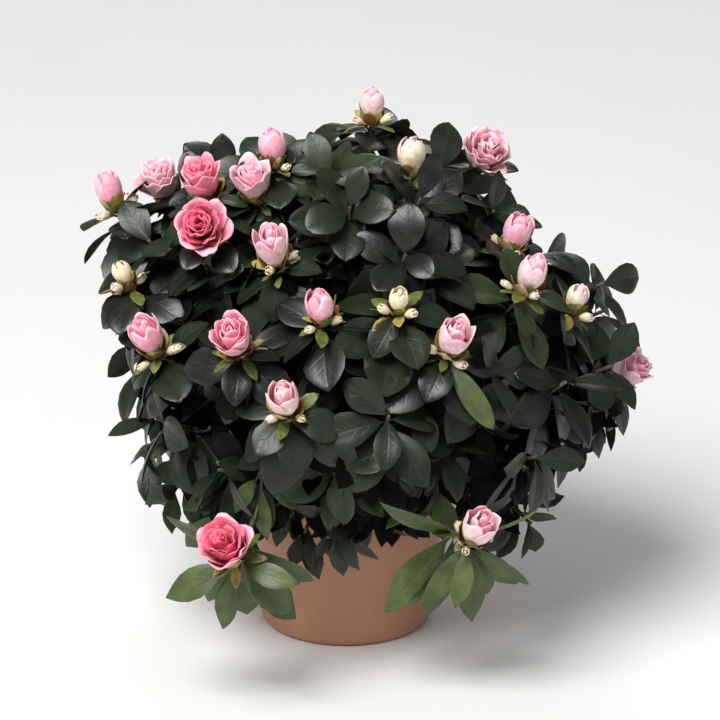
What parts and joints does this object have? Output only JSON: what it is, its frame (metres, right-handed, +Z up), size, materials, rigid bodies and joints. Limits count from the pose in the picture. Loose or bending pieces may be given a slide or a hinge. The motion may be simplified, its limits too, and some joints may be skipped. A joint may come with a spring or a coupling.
{
  "type": "potted azalea shrub",
  "caption": "Round evergreen azalea shrub with half-open pink double flowers and buds, growing in a terracotta-coloured plastic pot.",
  "frame": {"origin": "centre of the pot's flat underside, which stands on the ground", "axes": "+Z up along the pot's axis, -Y toward the front of the plant, +X to its right as seen from the front"},
  "size_m": [0.3044, 0.2978, 0.3002],
  "materials": {
    "pot": "smooth matt terracotta-coloured plastic",
    "soil": "crumbly dark peat",
    "bark": "fine grey-brown bark",
    "leaf": "dark green leaf with a soft sheen",
    "leaf_underside": "paler matt underside of the leaf",
    "young_leaf": "yellow-green young leaf and bud scale",
    "petal": "soft pink petal, deeper at the heart",
    "petal_edge": "pale pink petal margin and outer petals"
  },
  "bodies": {
    "root": {"pot": "pot", "soil": "soil", "trunk": "bark", "bough_front_skirt": "bark", "bough_front_right_skirt": "bark", "bough_back_right_skirt": "bark", "bough_back_skirt": "bark", "bough_back_left_skirt": "bark", "bough_front_left_skirt": "bark", "bough_right_shoulder": "bark", "bough_back_right_shoulder": "bark", "bough_back_left_shoulder": "bark", "bough_left_shoulder": "bark", "bough_front_left_shoulder": "bark", "bough_front_right_shoulder": "bark", "foliage_front_skirt": "leaf", "foliage_front_right_skirt": "leaf", "foliage_back_right_skirt": "leaf", "foliage_back_skirt": "leaf", "foliage_back_left_skirt": "leaf", "foliage_front_left_skirt": "leaf", "foliage_right_shoulder": "leaf", "foliage_back_right_shoulder": "leaf", "foliage_back_left_shoulder": "leaf", "foliage_left_shoulder": "leaf", "foliage_front_left_shoulder": "leaf", "foliage_front_right_shoulder": "leaf", "foliage_crown_top": "leaf"}
  },
  "joints": []
}
